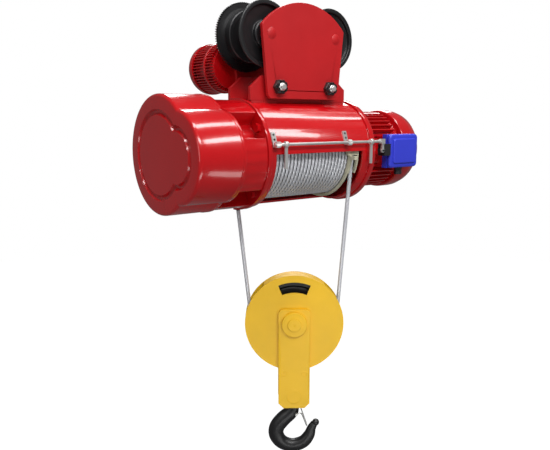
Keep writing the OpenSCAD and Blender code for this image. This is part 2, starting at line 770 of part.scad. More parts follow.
module block_covers() color(yellow) on_block()
    for (side = [-1, 1]) mirror([0, side < 0 ? 1 : 0, 0]) difference() {
        union() {
            rod_y(24, 27.5, block_r, $fn = 96);
            along_y(0.5, 25) intersection() {
                difference() {
                    circle(r = block_r, $fn = 96);
                    circle(r = block_r - 3, $fn = 96);
                }
                union() {
                    sector(220, 52, 128);
                    sector(220, 205, 335);
                }
            }
        }
        rod_y(20, 30, 25.2);
        along_y(20, 30) intersection() {
            difference() {
                circle(r = 127);
                circle(r = 95);
            }
            sector(220, 67.5, 112.5);
        }
    }

module strap_outline() {
    w = strap_w / 2;
    polygon([[-w, -252], [-w + 15, -267], [w - 15, -267], [w, -252], [w, 31], [w - 15, 31],
             [w - 15, 46], [-w + 15, 46], [-w + 15, 31], [-w, 31]]);
    for (side = [-1, 1]) translate([side * (w - 15), 31]) circle(r = 15);
}

module block_straps() color(yellow) on_block()
    for (y0 = [-36, 28])
        along_y(y0, y0 + 8) difference() {
            strap_outline();
            circle(r = 25);
            translate([0, -230]) circle(r = 20 + clear);
            for (x = [-31, 31]) translate([x, -156]) circle(r = 6);
        }

module block_spacers() color(zinc) on_block()
    for (x = [-31, 31]) {
        rod_y(-28, 28, 9, [x, -156]);
        rod_y(-36, 36, 6 - clear, [x, -156]);
    }

module sheave() color(black) on_block() difference() {
    turned_y([
        [25 + clear, -22], [36, -22], [36, -8], [108, -8], [116, -18], [140, -18], [140, -14],
        [121.5, -4], [121.5, 4], [140, 14], [140, 18], [116, 18], [108, 8], [36, 8], [36, 22],
        [25 + clear, 22]
    ]);
    rotate([-90, 0, 0]) rotate_extrude($fn = 96) translate([sheave_r, 0]) circle(r = rope_r + 0.3, $fn = 24);
}

module sheave_axle() color(yellow) on_block() {
    rod_y(-38, 38, 25);
    for (y0 = [-43, 36]) rod_y(y0, y0 + 7, 38, $fn = 96);
    rod_y(-46, 46, 20);
}

// Pieces that hang from the trunnions
module on_hook() on_block() translate([0, 0, 10]) children();

module crosshead() color(steel) on_hook() difference() {
    union() {
        translate([-30, -27.5, -262]) cube([60, 55, 44]);
        rod_y(-36, 36, 20, [0, -240]);
    }
    translate([0, 0, -263]) cylinder(h = 46, r = 17 + clear);
}

module thrust_bearing() color(steel) on_hook()
    translate([0, 0, -218]) difference() {
        cylinder(h = 12, r = 27);
        translate([0, 0, -1]) cylinder(h = 14, r = 17.5);
    }

module hook_nut() color(black) on_hook()
    translate([0, 0, -206]) difference() {
        cylinder(h = 22, r = 27, $fn = 6);
        translate([0, 0, -1]) cylinder(h = 24, r = 17);
    }

// Hook centre line as [x, z, width], from the shank to the knob
hook_line = [
    [0, -268, 34], [0, -286, 35], [-7, -306, 44], [-32, -330, 48], [-51, -356, 48], [-53, -383, 47],
    [-36, -408, 44], [-4, -419, 42], [30, -409, 40], [49, -386, 36], [57, -362, 28], [66, -345, 22]
];

// Smooth curve through four neighbouring points, at t from 0 to 1 between the middle two
function smooth(p0, p1, p2, p3, t) =
    0.5 * (2 * p1 + (p2 - p0) * t + (2 * p0 - 5 * p1 + 4 * p2 - p3) * t * t
        + (3 * p1 - p0 - 3 * p2 + p3) * t * t * t);
steps = 4;
hook_curve = [
    for (i = [0 : len(hook_line) - 2], s = [0 : steps - 1])
        smooth(hook_line[max(i - 1, 0)], hook_line[i], hook_line[i + 1],
               hook_line[min(i + 2, len(hook_line) - 1)], s / steps),
    hook_line[len(hook_line) - 1]
];
sides = 16;

module hook_body() {
    n = len(hook_curve);
    rings = [
        for (i = [0 : n - 1])
            let (
                a = hook_curve[max(i - 1, 0)],
                b = hook_curve[min(i + 1, n - 1)],
                dir = atan2(b[1] - a[1], b[0] - a[0]) + 90,
                p = hook_curve[i]
            )
            for (k = [0 : sides - 1])
                let (out = p[2] / 2 * cos(360 * k / sides))
                [p[0] + out * cos(dir), 0.43 * p[2] * sin(360 * k / sides), p[1] + out * sin(dir)]
    ];
    faces = [
        for (i = [0 : n - 2], k = [0 : sides - 1])
            let (k2 = (k + 1) % sides)
            each [[i * sides + k, i * sides + k2, (i + 1) * sides + k2],
                  [i * sides + k, (i + 1) * sides + k2, (i + 1) * sides + k]],
        [for (k = [sides - 1 : -1 : 0]) k],
        [for (k = [0 : sides - 1]) (n - 1) * sides + k]
    ];
    polyhedron(points = rings, faces = faces);
}

module hook() color(black) on_hook() difference() {
    union() {
        hook_body();
        translate([0, 0, -275]) cylinder(h = 95, r = 17 - clear);
        translate([70, 0, -342]) sphere(r = 11, $fn = 24);
    }
    rod_y(-30, 30, 3.5, [8, -306]);
}

module latch() color(zinc) on_hook() {
    rod_y(-26, 26, 3.4, [8, -306]);
    for (y0 = [-25.5, 23.5])
        along_y(y0, y0 + 2) {
            translate([8, -306]) circle(r = 6.5);
            polygon([[8, -301], [21, -291], [25, -311], [8, -311]]);
        }
    along_y(-25.5, 25.5) polygon([[20, -291], [22, -291], [26, -311], [24, -311]]);
    along_y(-11, 11) polygon([[24, -310.5], [26, -310.5], [44.5, -352], [42.6, -353]]);
}

// ---- assembly ---------------------------------------------------------------------------------------------

gear_cover();
gear_case();
case_bolts();
drum_shell();
rod_brackets();
rope_anchor();
motor_shield();
motor_frame();
motor_stator();
fan_cover();
terminal_box();
terminal_cover();
cable_gland();
limit_switch();
hanger_front();
hanger_rear();
trolley_plate_front();
trolley_plate_rear();
tie_bolts();
tie_nuts();
tie_spacers();
wheel_axles();
bearings();
wheel_front_left();
wheel_front_right();
wheel_rear_left();
wheel_rear_right();
travel_gear_case();
travel_motor_frame();
travel_motor_cap();
travel_rotor();
travel_idler();
travel_pinion();
main_shaft();
motor_rotor();
motor_fan();
countershaft_1();
countershaft_2();
output_gear();
drum();
rope_reserve();
rope_layer();
rope_guide();
guide_ring();
live_fall();
rope_bight();
dead_fall();
limit_rod();
stop_fingers();
limit_lever();
block_covers();
block_straps();
block_spacers();
sheave();
sheave_axle();
crosshead();
thrust_bearing();
hook();
hook_nut();
latch();
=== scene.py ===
"""Looks of the electric wire rope hoist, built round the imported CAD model. Lengths are in millimetres."""

import json
import math

import bmesh
import bpy
import numpy as np
from mathutils import Matrix, Vector


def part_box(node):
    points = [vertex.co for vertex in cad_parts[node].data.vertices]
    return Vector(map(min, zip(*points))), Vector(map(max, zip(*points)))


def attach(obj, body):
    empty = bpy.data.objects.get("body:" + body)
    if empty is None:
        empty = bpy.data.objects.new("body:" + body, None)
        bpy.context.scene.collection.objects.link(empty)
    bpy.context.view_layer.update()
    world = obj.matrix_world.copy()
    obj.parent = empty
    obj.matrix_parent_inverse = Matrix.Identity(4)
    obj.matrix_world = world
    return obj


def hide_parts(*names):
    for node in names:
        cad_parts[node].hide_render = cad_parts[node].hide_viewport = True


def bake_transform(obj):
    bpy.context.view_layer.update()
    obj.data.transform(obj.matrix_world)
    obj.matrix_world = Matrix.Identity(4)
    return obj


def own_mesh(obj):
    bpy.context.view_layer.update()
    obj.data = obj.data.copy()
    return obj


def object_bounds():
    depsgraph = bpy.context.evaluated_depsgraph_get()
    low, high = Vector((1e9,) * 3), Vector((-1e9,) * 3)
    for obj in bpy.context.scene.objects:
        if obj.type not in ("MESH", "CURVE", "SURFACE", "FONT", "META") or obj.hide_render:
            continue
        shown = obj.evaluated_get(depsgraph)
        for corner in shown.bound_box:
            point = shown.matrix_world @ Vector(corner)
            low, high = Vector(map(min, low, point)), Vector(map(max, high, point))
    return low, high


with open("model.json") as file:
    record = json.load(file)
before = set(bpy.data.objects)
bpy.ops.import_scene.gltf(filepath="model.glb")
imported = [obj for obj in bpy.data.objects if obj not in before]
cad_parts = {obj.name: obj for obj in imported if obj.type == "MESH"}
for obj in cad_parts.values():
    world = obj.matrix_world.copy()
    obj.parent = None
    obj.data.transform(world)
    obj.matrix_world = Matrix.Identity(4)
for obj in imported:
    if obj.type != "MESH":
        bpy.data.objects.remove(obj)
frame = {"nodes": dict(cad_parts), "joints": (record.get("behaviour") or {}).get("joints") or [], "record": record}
cad_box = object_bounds()

MM = 0.001
NODES = frame["nodes"]
RECORD = frame["record"]
JOINTS = {j["name"]: j for j in frame["joints"]}


def box_mm(node):
    low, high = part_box(node)
    return low / MM, high / MM


def centre_xz(low, high):
    return (low.x + high.x) / 2, (low.z + high.z) / 2


# ---- places taken from the frame -----------------------------------------------------------------

DRUM_Z = centre_xz(*box_mm("motor_shield"))[1]
COVER_LOW, COVER_HIGH = box_mm("gear_cover")
BIG_R = (COVER_HIGH.z - COVER_LOW.z) / 2
BIG_C = (COVER_HIGH.y - BIG_R, (COVER_HIGH.z + COVER_LOW.z) / 2)
LOBE_R = 118.0
LOBE_C = (COVER_LOW.y + LOBE_R, BIG_C[1] - 2)
COVER_MID = ((BIG_C[0] + LOBE_C[0]) / 2 + 5, DRUM_Z + 4)  # where the cover's outline is measured from

ROPE_R = 6.0
WOUND_R = 5.8  # a little less on the drum, so that the turns stay apart
ROPE_PITCH = 12.5
PITCH_R = 122.0
SHEAVE_R = 128.0
LIFT = 6.0  # metres of hook travel
BLOCK_C = Vector(JOINTS["sheave_spin"]["pos_m"]) / MM
BLOCK_Y = Vector(JOINTS["sheave_spin"]["axis"]).normalized()
BLOCK_X = Vector((BLOCK_Y.y, -BLOCK_Y.x, 0))
HOOK_REST = -240.0
SPACER_X, SPACER_Z = 31.0, -156.0  # ends of the block's spacers, from the sheave's axle
STRAP_FACE = 36.0
BLOCK = Matrix((
    (BLOCK_X.x, BLOCK_Y.x, 0, BLOCK_C.x),
    (BLOCK_X.y, BLOCK_Y.y, 0, BLOCK_C.y),
    (0, 0, 1, BLOCK_C.z),
    (0, 0, 0, 1),
))
# The hook is drawn with its trunnions at HOOK_REST, and moved to where the frame has them
TRUNNION_Z = JOINTS["crosshead_tilt"]["pos_m"][2] / MM - BLOCK_C.z
HOOK = BLOCK @ Matrix.Translation((0, 0, TRUNNION_Z - HOOK_REST))


# ---- materials -----------------------------------------------------------------------------------


def new_material(name):
    made = bpy.data.materials.new(name)
    made.use_nodes = True
    return made, made.node_tree.nodes, made.node_tree.links


def grain(nodes, links, scale, detail=3.0, stretch=(1, 1, 1)):
    """Noise in object space, so that it stays on the piece."""
    place = nodes.new("ShaderNodeTexCoord")
    mapping = nodes.new("ShaderNodeMapping")
    mapping.inputs["Scale"].default_value = stretch
    noise = nodes.new("ShaderNodeTexNoise")
    noise.inputs["Scale"].default_value = scale
    noise.inputs["Detail"].default_value = detail
    links.new(place.outputs["Object"], mapping.inputs["Vector"])
    links.new(mapping.outputs["Vector"], noise.inputs["Vector"])
    return noise.outputs["Fac"]


def ramp(nodes, links, value, low, high, start=0.3, end=0.7):
    made = nodes.new("ShaderNodeValToRGB")
    made.color_ramp.elements[0].position = start
    made.color_ramp.elements[0].color = (*low, 1)
    made.color_ramp.elements[1].position = end
    made.color_ramp.elements[1].color = (*high, 1)
    links.new(value, made.inputs["Fac"])
    return made.outputs["Color"]


def scaled(color, k):
    return tuple(min(1.0, c * k) for c in color)


def spread(nodes, links, value, low, high):
    made = nodes.new("ShaderNodeMapRange")
    made.inputs["To Min"].default_value = low
    made.inputs["To Max"].default_value = high
    links.new(value, made.inputs["Value"])
    return made.outputs["Result"]


BROAD_GRAIN, PATCH_GRAIN = 9.0, 35.0
GAP_M = 0.005
GAP_RANGE = (-1.1, 1.5)  # below 0 is all painted shade, above 1 none


def surface(name, color, vary=0.08, metallic=0.0, rough=(0.3, 0.4), coat=0.0, coat_rough=0.1,
            bump_scale=300.0, bump=0.05, stretch=(1, 1, 1), bump_depth=0.0002, gap_shade=None):
    """A finish whose colour, roughness and relief all vary a little over the surface.

    The last argument is a dark colour painted as shade into gaps narrower than GAP_M, where ambient occlusion
    finds them.
    """
    made, nodes, links = new_material(name)
    shader = nodes["Principled BSDF"]
    broad = grain(nodes, links, BROAD_GRAIN, 4.0)
    mottle = ramp(nodes, links, broad, scaled(color, 1 - vary), scaled(color, 1 + vary))
    # Painted shade: ambient occlusion mixes the dark colour into narrow gaps, such as those between the rope's
    # turns.
    if gap_shade:
        gaps = nodes.new("ShaderNodeAmbientOcclusion")
        gaps.samples = 8
        gaps.inputs["Distance"].default_value = GAP_M
        shade_mix = nodes.new("ShaderNodeMix")
        shade_mix.data_type = "RGBA"
        links.new(spread(nodes, links, gaps.outputs["AO"], *GAP_RANGE), shade_mix.inputs["Factor"])
        shade_mix.inputs["A"].default_value = (*gap_shade, 1)
        links.new(mottle, shade_mix.inputs["B"])
        mottle = shade_mix.outputs["Result"]
    links.new(mottle, shader.inputs["Base Color"])
    patches = grain(nodes, links, PATCH_GRAIN, 5.0, stretch)
    links.new(spread(nodes, links, patches, *rough), shader.inputs["Roughness"])
    shader.inputs["Metallic"].default_value = metallic
    shader.inputs["Coat Weight"].default_value = coat
    shader.inputs["Coat Roughness"].default_value = coat_rough
    relief = nodes.new("ShaderNodeBump")
    relief.inputs["Strength"].default_value = bump
    relief.inputs["Distance"].default_value = bump_depth
    links.new(grain(nodes, links, bump_scale, 4.0, stretch), relief.inputs["Height"])
    links.new(relief.outputs["Normal"], shader.inputs["Normal"])
    return made


red_gloss = surface("red_gloss", (0.50, 0.003, 0.006), 0.05, rough=(0.16, 0.24), coat=0.6, coat_rough=0.05,
                    bump_scale=160, bump=0.10)
red_satin = surface("red_satin", (0.47, 0.004, 0.007), 0.06, rough=(0.42, 0.52), coat=0.15, coat_rough=0.35,
                    bump_scale=260, bump=0.25)
blue_paint = surface("blue_paint", (0.035, 0.05, 0.62), 0.06, rough=(0.36, 0.46), coat=0.2, coat_rough=0.3,
                     bump_scale=420, bump=0.25)
yellow_paint = surface("yellow_paint", (0.92, 0.545, 0.010), 0.05, rough=(0.42, 0.52), coat=0.15,
                       coat_rough=0.35, bump_scale=300, bump=0.25)
black_forging = surface("black_forging", (0.006, 0.006, 0.007), 0.25, rough=(0.34, 0.5), coat=0.25,
                        coat_rough=0.3, bump_scale=420, bump=0.45)
black_cast = surface("black_cast", (0.006, 0.006, 0.007), 0.25, rough=(0.34, 0.48), coat=0.2, coat_rough=0.3,
                     bump_scale=700, bump=0.5)
black_nut = surface("black_nut", (0.010, 0.010, 0.011), 0.2, rough=(0.2, 0.3), coat=0.4, coat_rough=0.15,
                    bump_scale=500, bump=0.2)
black_plastic = surface("black_plastic", (0.015, 0.015, 0.017), 0.1, rough=(0.45, 0.55),
                        bump_scale=900, bump=0.3)
zinc = surface("zinc", (0.72, 0.72, 0.70), 0.10, metallic=0.7, rough=(0.28, 0.4), bump_scale=500, bump=0.15)
bare_steel = surface("bare_steel", (0.50, 0.51, 0.53), 0.10, metallic=1.0, rough=(0.25, 0.4), bump_scale=600,
                     bump=0.12, stretch=(1, 6, 6))
# The rope gets painted shade in the gaps between its turns and strands.
rope_wire = surface("rope_wire", (0.74, 0.75, 0.79), 0.12, metallic=0.35, rough=(0.3, 0.42),
                    bump_scale=1400, bump=0.5, gap_shade=(0.03, 0.03, 0.035))
# The drum's steel is darkened as painted shade, so that the drum seen between the rope's turns reads as shadow.
drum_shade_steel = surface("drum_shade_steel", (0.05, 0.05, 0.055), 0.10, metallic=0.8, rough=(0.45, 0.6),
                     bump_scale=500, bump=0.15)
khaki_paint = surface("khaki_paint", (0.56, 0.54, 0.40), 0.06, rough=(0.45, 0.6), bump_scale=500, bump=0.3)

SLOT_LOOK = {
    "red_paint": red_gloss, "blue_paint": blue_paint, "yellow_paint": yellow_paint,
    "black_iron": black_cast, "zinc_plate": zinc, "bare_steel": bare_steel,
    "rope_wire": rope_wire, "guide_paint": khaki_paint, "black_plastic": black_plastic,
}
NODE_LOOK = {
    "trolley_plate_front": red_satin, "trolley_plate_rear": red_satin,
    "hanger_front": red_satin, "hanger_rear": red_satin,
    "hook": black_forging, "hook_nut": black_forging,
    "block_spacers": yellow_paint, "crosshead": yellow_paint,
    "wheel_axles": red_satin, "case_bolts": red_gloss, "drum": drum_shade_steel, "tie_nuts": black_nut,
}


# ---- building pieces -----------------------------------------------------------------------------


def finish_piece(obj, material, body, replaced=(), smooth_angle=40):
    """Gives a piece its material, the body it rides on and the CAD nodes it stands for."""
    obj.data.materials.clear()
    obj.data.materials.append(material)
    obj.data.set_sharp_from_angle(angle=math.radians(smooth_angle))
    if body:
        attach(obj, body)
    if replaced:
        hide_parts(*replaced)
    return obj


def mesh_object(name, points, faces, matrix=None):
    """A smooth-shaded mesh from points in millimetres, its normals turned outwards."""
    data = bpy.data.meshes.new(name)
    placed = [matrix @ Vector(p) if matrix else p for p in points]
    data.from_pydata([tuple(c * MM for c in p) for p in placed], [], faces)
    whole = bmesh.new()
    whole.from_mesh(data)
    bmesh.ops.recalc_face_normals(whole, faces=whole.faces)
    whole.to_mesh(data)
    whole.free()
    data.shade_smooth()
    obj = bpy.data.objects.new(name, data)
    bpy.context.scene.collection.objects.link(obj)
    return obj


def rings_to_faces(rings, around, loop=False):
    """Quads between rings of points that lie one after another."""
    faces = []
    for i in range(rings if loop else rings - 1):
        here, there = i * around, ((i + 1) % rings) * around
        for k in range(around):
            k2 = (k + 1) % around
            faces.append((here + k, here + k2, there + k2, there + k))
    return faces


def end_caps(rings, around):
    """One face over the first ring and one over the last."""
    last = (rings - 1) * around
    return [tuple(range(around)), tuple(range(last, last + around))]


def lathe(name, profile, centre, axis, steps=128, matrix=None):
    """Turns a profile of (radius, station) round the line through centre along axis X or Y.

    A profile that starts and ends on the axis makes a solid; any other is closed into a ring.
    """
    solid = profile[0][0] == 0 and profile[-1][0] == 0
    inner = profile[1:-1] if solid else profile
    points = []
    for radius, station in inner:
        for k in range(steps):
            a = 2 * math.pi * k / steps
            u, v = radius * math.cos(a), radius * math.sin(a)
            u, v = centre[0] + u, centre[1] + v
            points.append((station, u, v) if axis == "X" else (u, station, v))
    faces = rings_to_faces(len(inner), steps, loop=not solid)
    if solid:
        faces += end_caps(len(inner), steps)
    return mesh_object(name, points, faces, matrix)


def lathe_z(name, profile, centre, matrix=None, steps=64):
    """Turns a profile of (radius, height), which starts and ends on the axis, round a vertical line."""
    inner = profile[1:-1]
    points = []
    for radius, height in inner:
        for k in range(steps):
            a = 2 * math.pi * k / steps
            points.append((centre[0] + radius * math.cos(a), centre[1] + radius * math.sin(a), height))
    faces = rings_to_faces(len(inner), steps) + end_caps(len(inner), steps)
    return mesh_object(name, points, faces, matrix)


def rounded(profile, radius, steps=4):
    """The profile with its corners rounded; a corner too short for the radius gets a smaller one."""
    made = []
    count = len(profile)
    for i, point in enumerate(profile):
        p, before, after = Vector(point), Vector(profile[i - 1]), Vector(profile[(i + 1) % count])
        a, b = before - p, after - p
        cut = min(radius, a.length * 0.4, b.length * 0.4)
        start, end = p + a.normalized() * cut, p + b.normalized() * cut
        for s in range(steps + 1):
            t = s / steps
            made.append(tuple(start * (1 - t) ** 2 + p * 2 * t * (1 - t) + end * t * t))
    return made


def extrude(name, outline, low, high, axis, bevel=0.0, matrix=None):
    """An outline of (x, z) drawn along Y, or of (y, z) drawn along X, with bevelled rims."""
    points = []
    for station in (low, high):
        for u, v in outline:
            points.append((station, u, v) if axis == "X" else (u, station, v))
    count = len(outline)
    faces = rings_to_faces(2, count) + end_caps(2, count)
    obj = mesh_object(name, points, faces, matrix)
    if bevel:
        add_bevel(obj, bevel)
    return obj


BEVEL_ANGLE = math.radians(35)


def add_bevel(obj, width, segments=3):
    made = obj.modifiers.new("round", "BEVEL")
    made.width = width * MM
    made.segments = segments
    made.limit_method = "ANGLE"
    made.angle_limit = BEVEL_ANGLE
    made.harden_normals = True


# ---- the frame's own pieces ----------------------------------------------------------------------

WELD_M = 0.00001
SLOT_OF = {s["node"]: s["material_slot"] for s in RECORD["subparts"]}
BEVELS = {
    "gear_case": 2.0, "drum_shell": 1.2, "motor_shield": 1.0, "hanger_front": 1.0, "hanger_rear": 1.0,
    "trolley_plate_front": 1.0, "trolley_plate_rear": 1.0, "block_straps": 1.0, "tie_nuts": 0.6,
    "travel_gear_case": 2.0, "rod_brackets": 0.4, "stop_fingers": 0.4, "rope_anchor": 0.8,
}

for node_name, obj in NODES.items():
    look = NODE_LOOK.get(node_name, SLOT_LOOK[SLOT_OF[node_name]])
    obj.data.materials.clear()
    obj.data.materials.append(look)
    if node_name in BEVELS:
        weld = obj.modifiers.new("weld", "WELD")
        weld.merge_threshold = WELD_M
        add_bevel(obj, BEVELS[node_name], 2)


# ---- gear cover ----------------------------------------------------------------------------------


def lobe_point(angle, grow, blend=1.5):
    """Point (y, z) of the cover's two-lobe outline at an angle, with the creases between the lobes rounded.

    grow moves the outline outwards.
    """
    mid_y, mid_z = COVER_MID
    c, s = math.cos(angle), math.sin(angle)
    reach = []
    for (y, z), r in ((BIG_C, BIG_R + grow), (LOBE_C, LOBE_R + grow)):
        dy, dz = y - mid_y, z - mid_z
        along = dy * c + dz * s
        reach.append(along + math.sqrt(max(0.0, r * r - (dy * dy + dz * dz) + along * along)))
    h = max(0.0, 1 - abs(reach[0] - reach[1]) / blend)
    radius = max(reach) + h * h * blend / 4
    return mid_y + radius * c, mid_z + radius * s


def make_gear_cover():
    """Two-lobe cap: rounded front edge, and a pressed groove that follows the outline on its end face."""
    x0, x1 = COVER_LOW.x, COVER_HIGH.x
    edge, rim, wall = 8.0, 1.6, 8.0
    groove_at, groove_w, groove_d = -47.0, 15.0, 8.0
    # Each loop is (x, how far it lies outside the outline), from the rim at the gear case to the end face
    loops = [(x1, -wall), (x1, -0.4), (x1 - 0.6, 0.0), (x1 - 5, 0.0), (x1 - 6.5, -rim)]
    loops += [(x0 + edge + 1, -rim)]
    for i in range(1, 7):
        a = math.pi / 2 * i / 6
        loops.append((x0 + edge - edge * math.sin(a), -rim - edge * (1 - math.cos(a))))
    loops += [(x0, groove_at + groove_w / 2 + 2)]
    for i in range(9):
        t = i / 8
        loops.append((x0 + groove_d * math.sin(math.pi * t) ** 0.8, groove_at + groove_w * (0.5 - t)))
    around = 288
    points = []
    for x, grow in loops:
        for k in range(around):
            y, z = lobe_point(2 * math.pi * k / around, grow)
            points.append((x, y, z))
    last = len(loops) * around
    inner = [(x0, points[last - around + k][1], points[last - around + k][2]) for k in range(around)]
    mid = (sum(p[1] for p in inner) / around, sum(p[2] for p in inner) / around)
    for share in (0.93, 0.6, 0.25):
        points += [(x0, mid[0] + (y - mid[0]) * share, mid[1] + (z - mid[1]) * share) for _, y, z in inner]
    rings = len(loops) + 3
    points.append((x0, *mid))
    faces = rings_to_faces(rings, around)
    tip = len(points) - 1
    start = (rings - 1) * around
    faces += [(start + k, start + (k + 1) % around, tip) for k in range(around)]
    # Inside of the shell
    back = len(points)
    for k in range(around):
        y, z = lobe_point(2 * math.pi * k / around, -wall)
        points.append((x0 + wall, y, z))
    faces += [(k, (k + 1) % around, back + (k + 1) % around, back + k) for k in range(around)]
    faces.append(tuple(range(back, back + around)))
    obj = mesh_object("gear_cover_shell", points, faces)
    finish_piece(obj, red_gloss, "root", ["gear_cover"], 50)


# ---- rope ----------------------------------------------------------------------------------------

STRANDS = 6
PER_STRAND = 4  # points of a strand's section
VALLEY = 0.68  # depth of the grooves between strands, as a share of the rope's radius
LAY = 84.0
ROPE_STEP = 5.25
RESERVE_TURNS = 5.0


def stranded(name, path, radius=ROPE_R):
    """A rope of twisted strands along path, a list of (point, side, up, length so far)."""
    strand_r, strand_at = radius / 3, 2 * radius / 3
    half = 180 / STRANDS
    section = []
    for lobe in range(STRANDS):
        for i in range(PER_STRAND):
            beta = math.radians(-half + 2 * half * (i + 0.5) / PER_STRAND)
            off = strand_at * math.sin(beta)
            reach = strand_at * math.cos(beta) + math.sqrt(max(0, strand_r ** 2 - off ** 2))
            section.append((beta + 2 * math.pi * lobe / STRANDS, max(reach, VALLEY * radius)))
    angles = np.array([s[0] for s in section])
    radii = np.array([s[1] for s in section])
    points = []
    for point, side, up, length in path:
        turned = angles + 2 * math.pi * length / LAY
        ring = np.outer(radii * np.cos(turned), side) + np.outer(radii * np.sin(turned), up)
        points.extend(map(tuple, ring + np.array(point)))
    around = len(section)
    faces = rings_to_faces(len(path), around) + end_caps(len(path), around)
    return mesh_object(name, points, faces)


def straight_path(start, end):
    """A straight rope's path, as stranded takes it."""
    direction = (end - start).normalized()
    side = direction.cross(Vector((0, 1, 0))).normalized()
    up = direction.cross(side)
    length = (end - start).length
    count = max(2, round(length / ROPE_STEP))
    return [(start.lerp(end, i / count), side, up, length * i / count) for i in range(count + 1)]


def coil_path(first_turn, last_turn, end_x, end_turn):
    """The rope's helix on the drum, whose live end leaves the drum's front at end_x."""
    per_turn = math.hypot(2 * math.pi * PITCH_R, ROPE_PITCH)
    count = round((last_turn - first_turn) * per_turn / ROPE_STEP)
    path = []
    for i in range(count + 1):
        turn = first_turn + (last_turn - first_turn) * i / count
        angle = math.pi + 2 * math.pi * (turn - end_turn)
        radial = Vector((0, math.cos(angle), math.sin(angle)))
        x = end_x - (end_turn - turn) * ROPE_PITCH
        centre = Vector((x, 0, DRUM_Z)) + radial * PITCH_R
        path.append((centre, radial, Vector((1, 0, 0)), turn * per_turn))
    return path


def make_rope():
    """Turns on the drum, two falls that stretch as the block goes down, and the bend round the sheave."""
    live_top = Vector((box_mm("live_fall")[1].x - ROPE_R, -PITCH_R, DRUM_Z))
    half_gap = (Vector((live_top.x, live_top.y)) - Vector((BLOCK_C.x, BLOCK_C.y))).length
    to_block = BLOCK.inverted()
    first_x = box_mm("rope_reserve")[0].x + ROPE_R
    turns = (live_top.x - first_x) / ROPE_PITCH
    reserve = stranded("rope_reserve_turns", coil_path(0, RESERVE_TURNS, live_top.x, turns), WOUND_R)
    finish_piece(reserve, rope_wire, "rope_drum", ["rope_reserve"], 180)
    layer = stranded("rope_layer_turns", coil_path(RESERVE_TURNS, turns, live_top.x, turns), WOUND_R)
    finish_piece(layer, rope_wire, "rope_drum", ["rope_layer"], 180)
    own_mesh(layer)

    def touch(height):
        return math.atan2(height, half_gap) - math.acos(SHEAVE_R / math.hypot(half_gap, height))

    live_a = touch((to_block @ live_top).z)
    dead_top = BLOCK @ Vector((-half_gap, 0, box_mm("dead_fall")[1].z - BLOCK_C.z))
    dead_a = touch((to_block @ dead_top).z)
    live_end = BLOCK @ Vector((SHEAVE_R * math.cos(live_a), 0, SHEAVE_R * math.sin(live_a)))
    dead_end = BLOCK @ Vector((-SHEAVE_R * math.cos(dead_a), 0, SHEAVE_R * math.sin(dead_a)))
    live = stranded("live_fall_rope", straight_path(live_top, live_end))
    finish_piece(live, rope_wire, None, ["live_fall"], 180)
    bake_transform(live)
    dead = stranded("dead_fall_rope", straight_path(dead_top, dead_end))
    finish_piece(dead, rope_wire, None, ["dead_fall"], 180)
    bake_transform(dead)

    turn = BLOCK.to_3x3()
    sweep = math.pi + live_a + dead_a
    count = round(SHEAVE_R * sweep / ROPE_STEP)
    path = []
    for i in range(count + 1):
        a = live_a - sweep * i / count
        radial = turn @ Vector((math.cos(a), 0, math.sin(a)))
        path.append((BLOCK_C + radial * SHEAVE_R, radial, BLOCK_Y, SHEAVE_R * sweep * i / count))
    bight = stranded("rope_bight_bend", path)
    finish_piece(bight, rope_wire, "bight", ["rope_bight"], 180)


# ---- hook ----------------------------------------------------------------------------------------

# Centre line of the hook as (x, z, width), from the shank to the knob, in the hook's own drawing
HOOK_LINE = [
    (0, -268, 34), (0, -286, 35), (-7, -306, 44), (-32, -330, 48), (-51, -356, 48), (-53, -383, 47),
    (-36, -408, 44), (-4, -419, 42), (30, -409, 40), (49, -386, 36), (57, -362, 28), (66, -345, 22),
]


def smooth_line(line, steps):
    """Points of a smooth curve through the line's points."""
    made = []
    last = len(line) - 1
    for i in range(last):
        p = [np.array(line[min(max(i + k, 0), last)], float) for k in (-1, 0, 1, 2)]
        for s in range(steps):
            t = s / steps
            made.append(0.5 * (2 * p[1] + (p[2] - p[0]) * t + (2 * p[0] - 5 * p[1] + 4 * p[2] - p[3]) * t ** 2
                               + (3 * p[1] - p[0] - 3 * p[2] + p[3]) * t ** 3))
    made.append(np.array(line[-1], float))
    return made


def make_hook():
    """Forged hook: an egg-shaped section, broad on the inside of the bend, and a knob at the tip."""
    curve = smooth_line(HOOK_LINE, 8)
    around, thick, egg = 40, 0.42, 0.08
    points = []
    for i, (x, z, width) in enumerate(curve):
        a, b = curve[max(i - 1, 0)], curve[min(i + 1, len(curve) - 1)]
        direction = math.atan2(b[1] - a[1], b[0] - a[0]) + math.pi / 2
        for k in range(around):
            q = 2 * math.pi * k / around
            out = width / 2 * math.cos(q)
            depth = thick * width * math.sin(q) * (1 + egg * math.cos(q))
            points.append((x + out * math.cos(direction), depth, z + out * math.sin(direction)))
    faces = rings_to_faces(len(curve), around) + end_caps(len(curve), around)
    body = mesh_object("forged_hook", points, faces, HOOK)
    finish_piece(body, black_forging, "load_hook", ["hook"], 60)
    shank_line = [(0, -276), (16.9, -276), (16.9, -184), (15.4, -181), (0, -181)]
    shank = lathe_z("hook_shank", shank_line, (0, 0), HOOK)
    finish_piece(shank, black_forging, "load_hook")
    knob_x, knob_z, knob_r = 70, -342, 11
    half_circle = [(0, knob_z - knob_r)]
    for k in range(1, 16):
        a = math.pi * k / 16
        half_circle.append((knob_r * math.sin(a), knob_z - knob_r * math.cos(a)))
    half_circle.append((0, knob_z + knob_r))
    ball = lathe_z("hook_knob", half_circle, (knob_x, 0), HOOK)
    finish_piece(ball, black_forging, "load_hook")


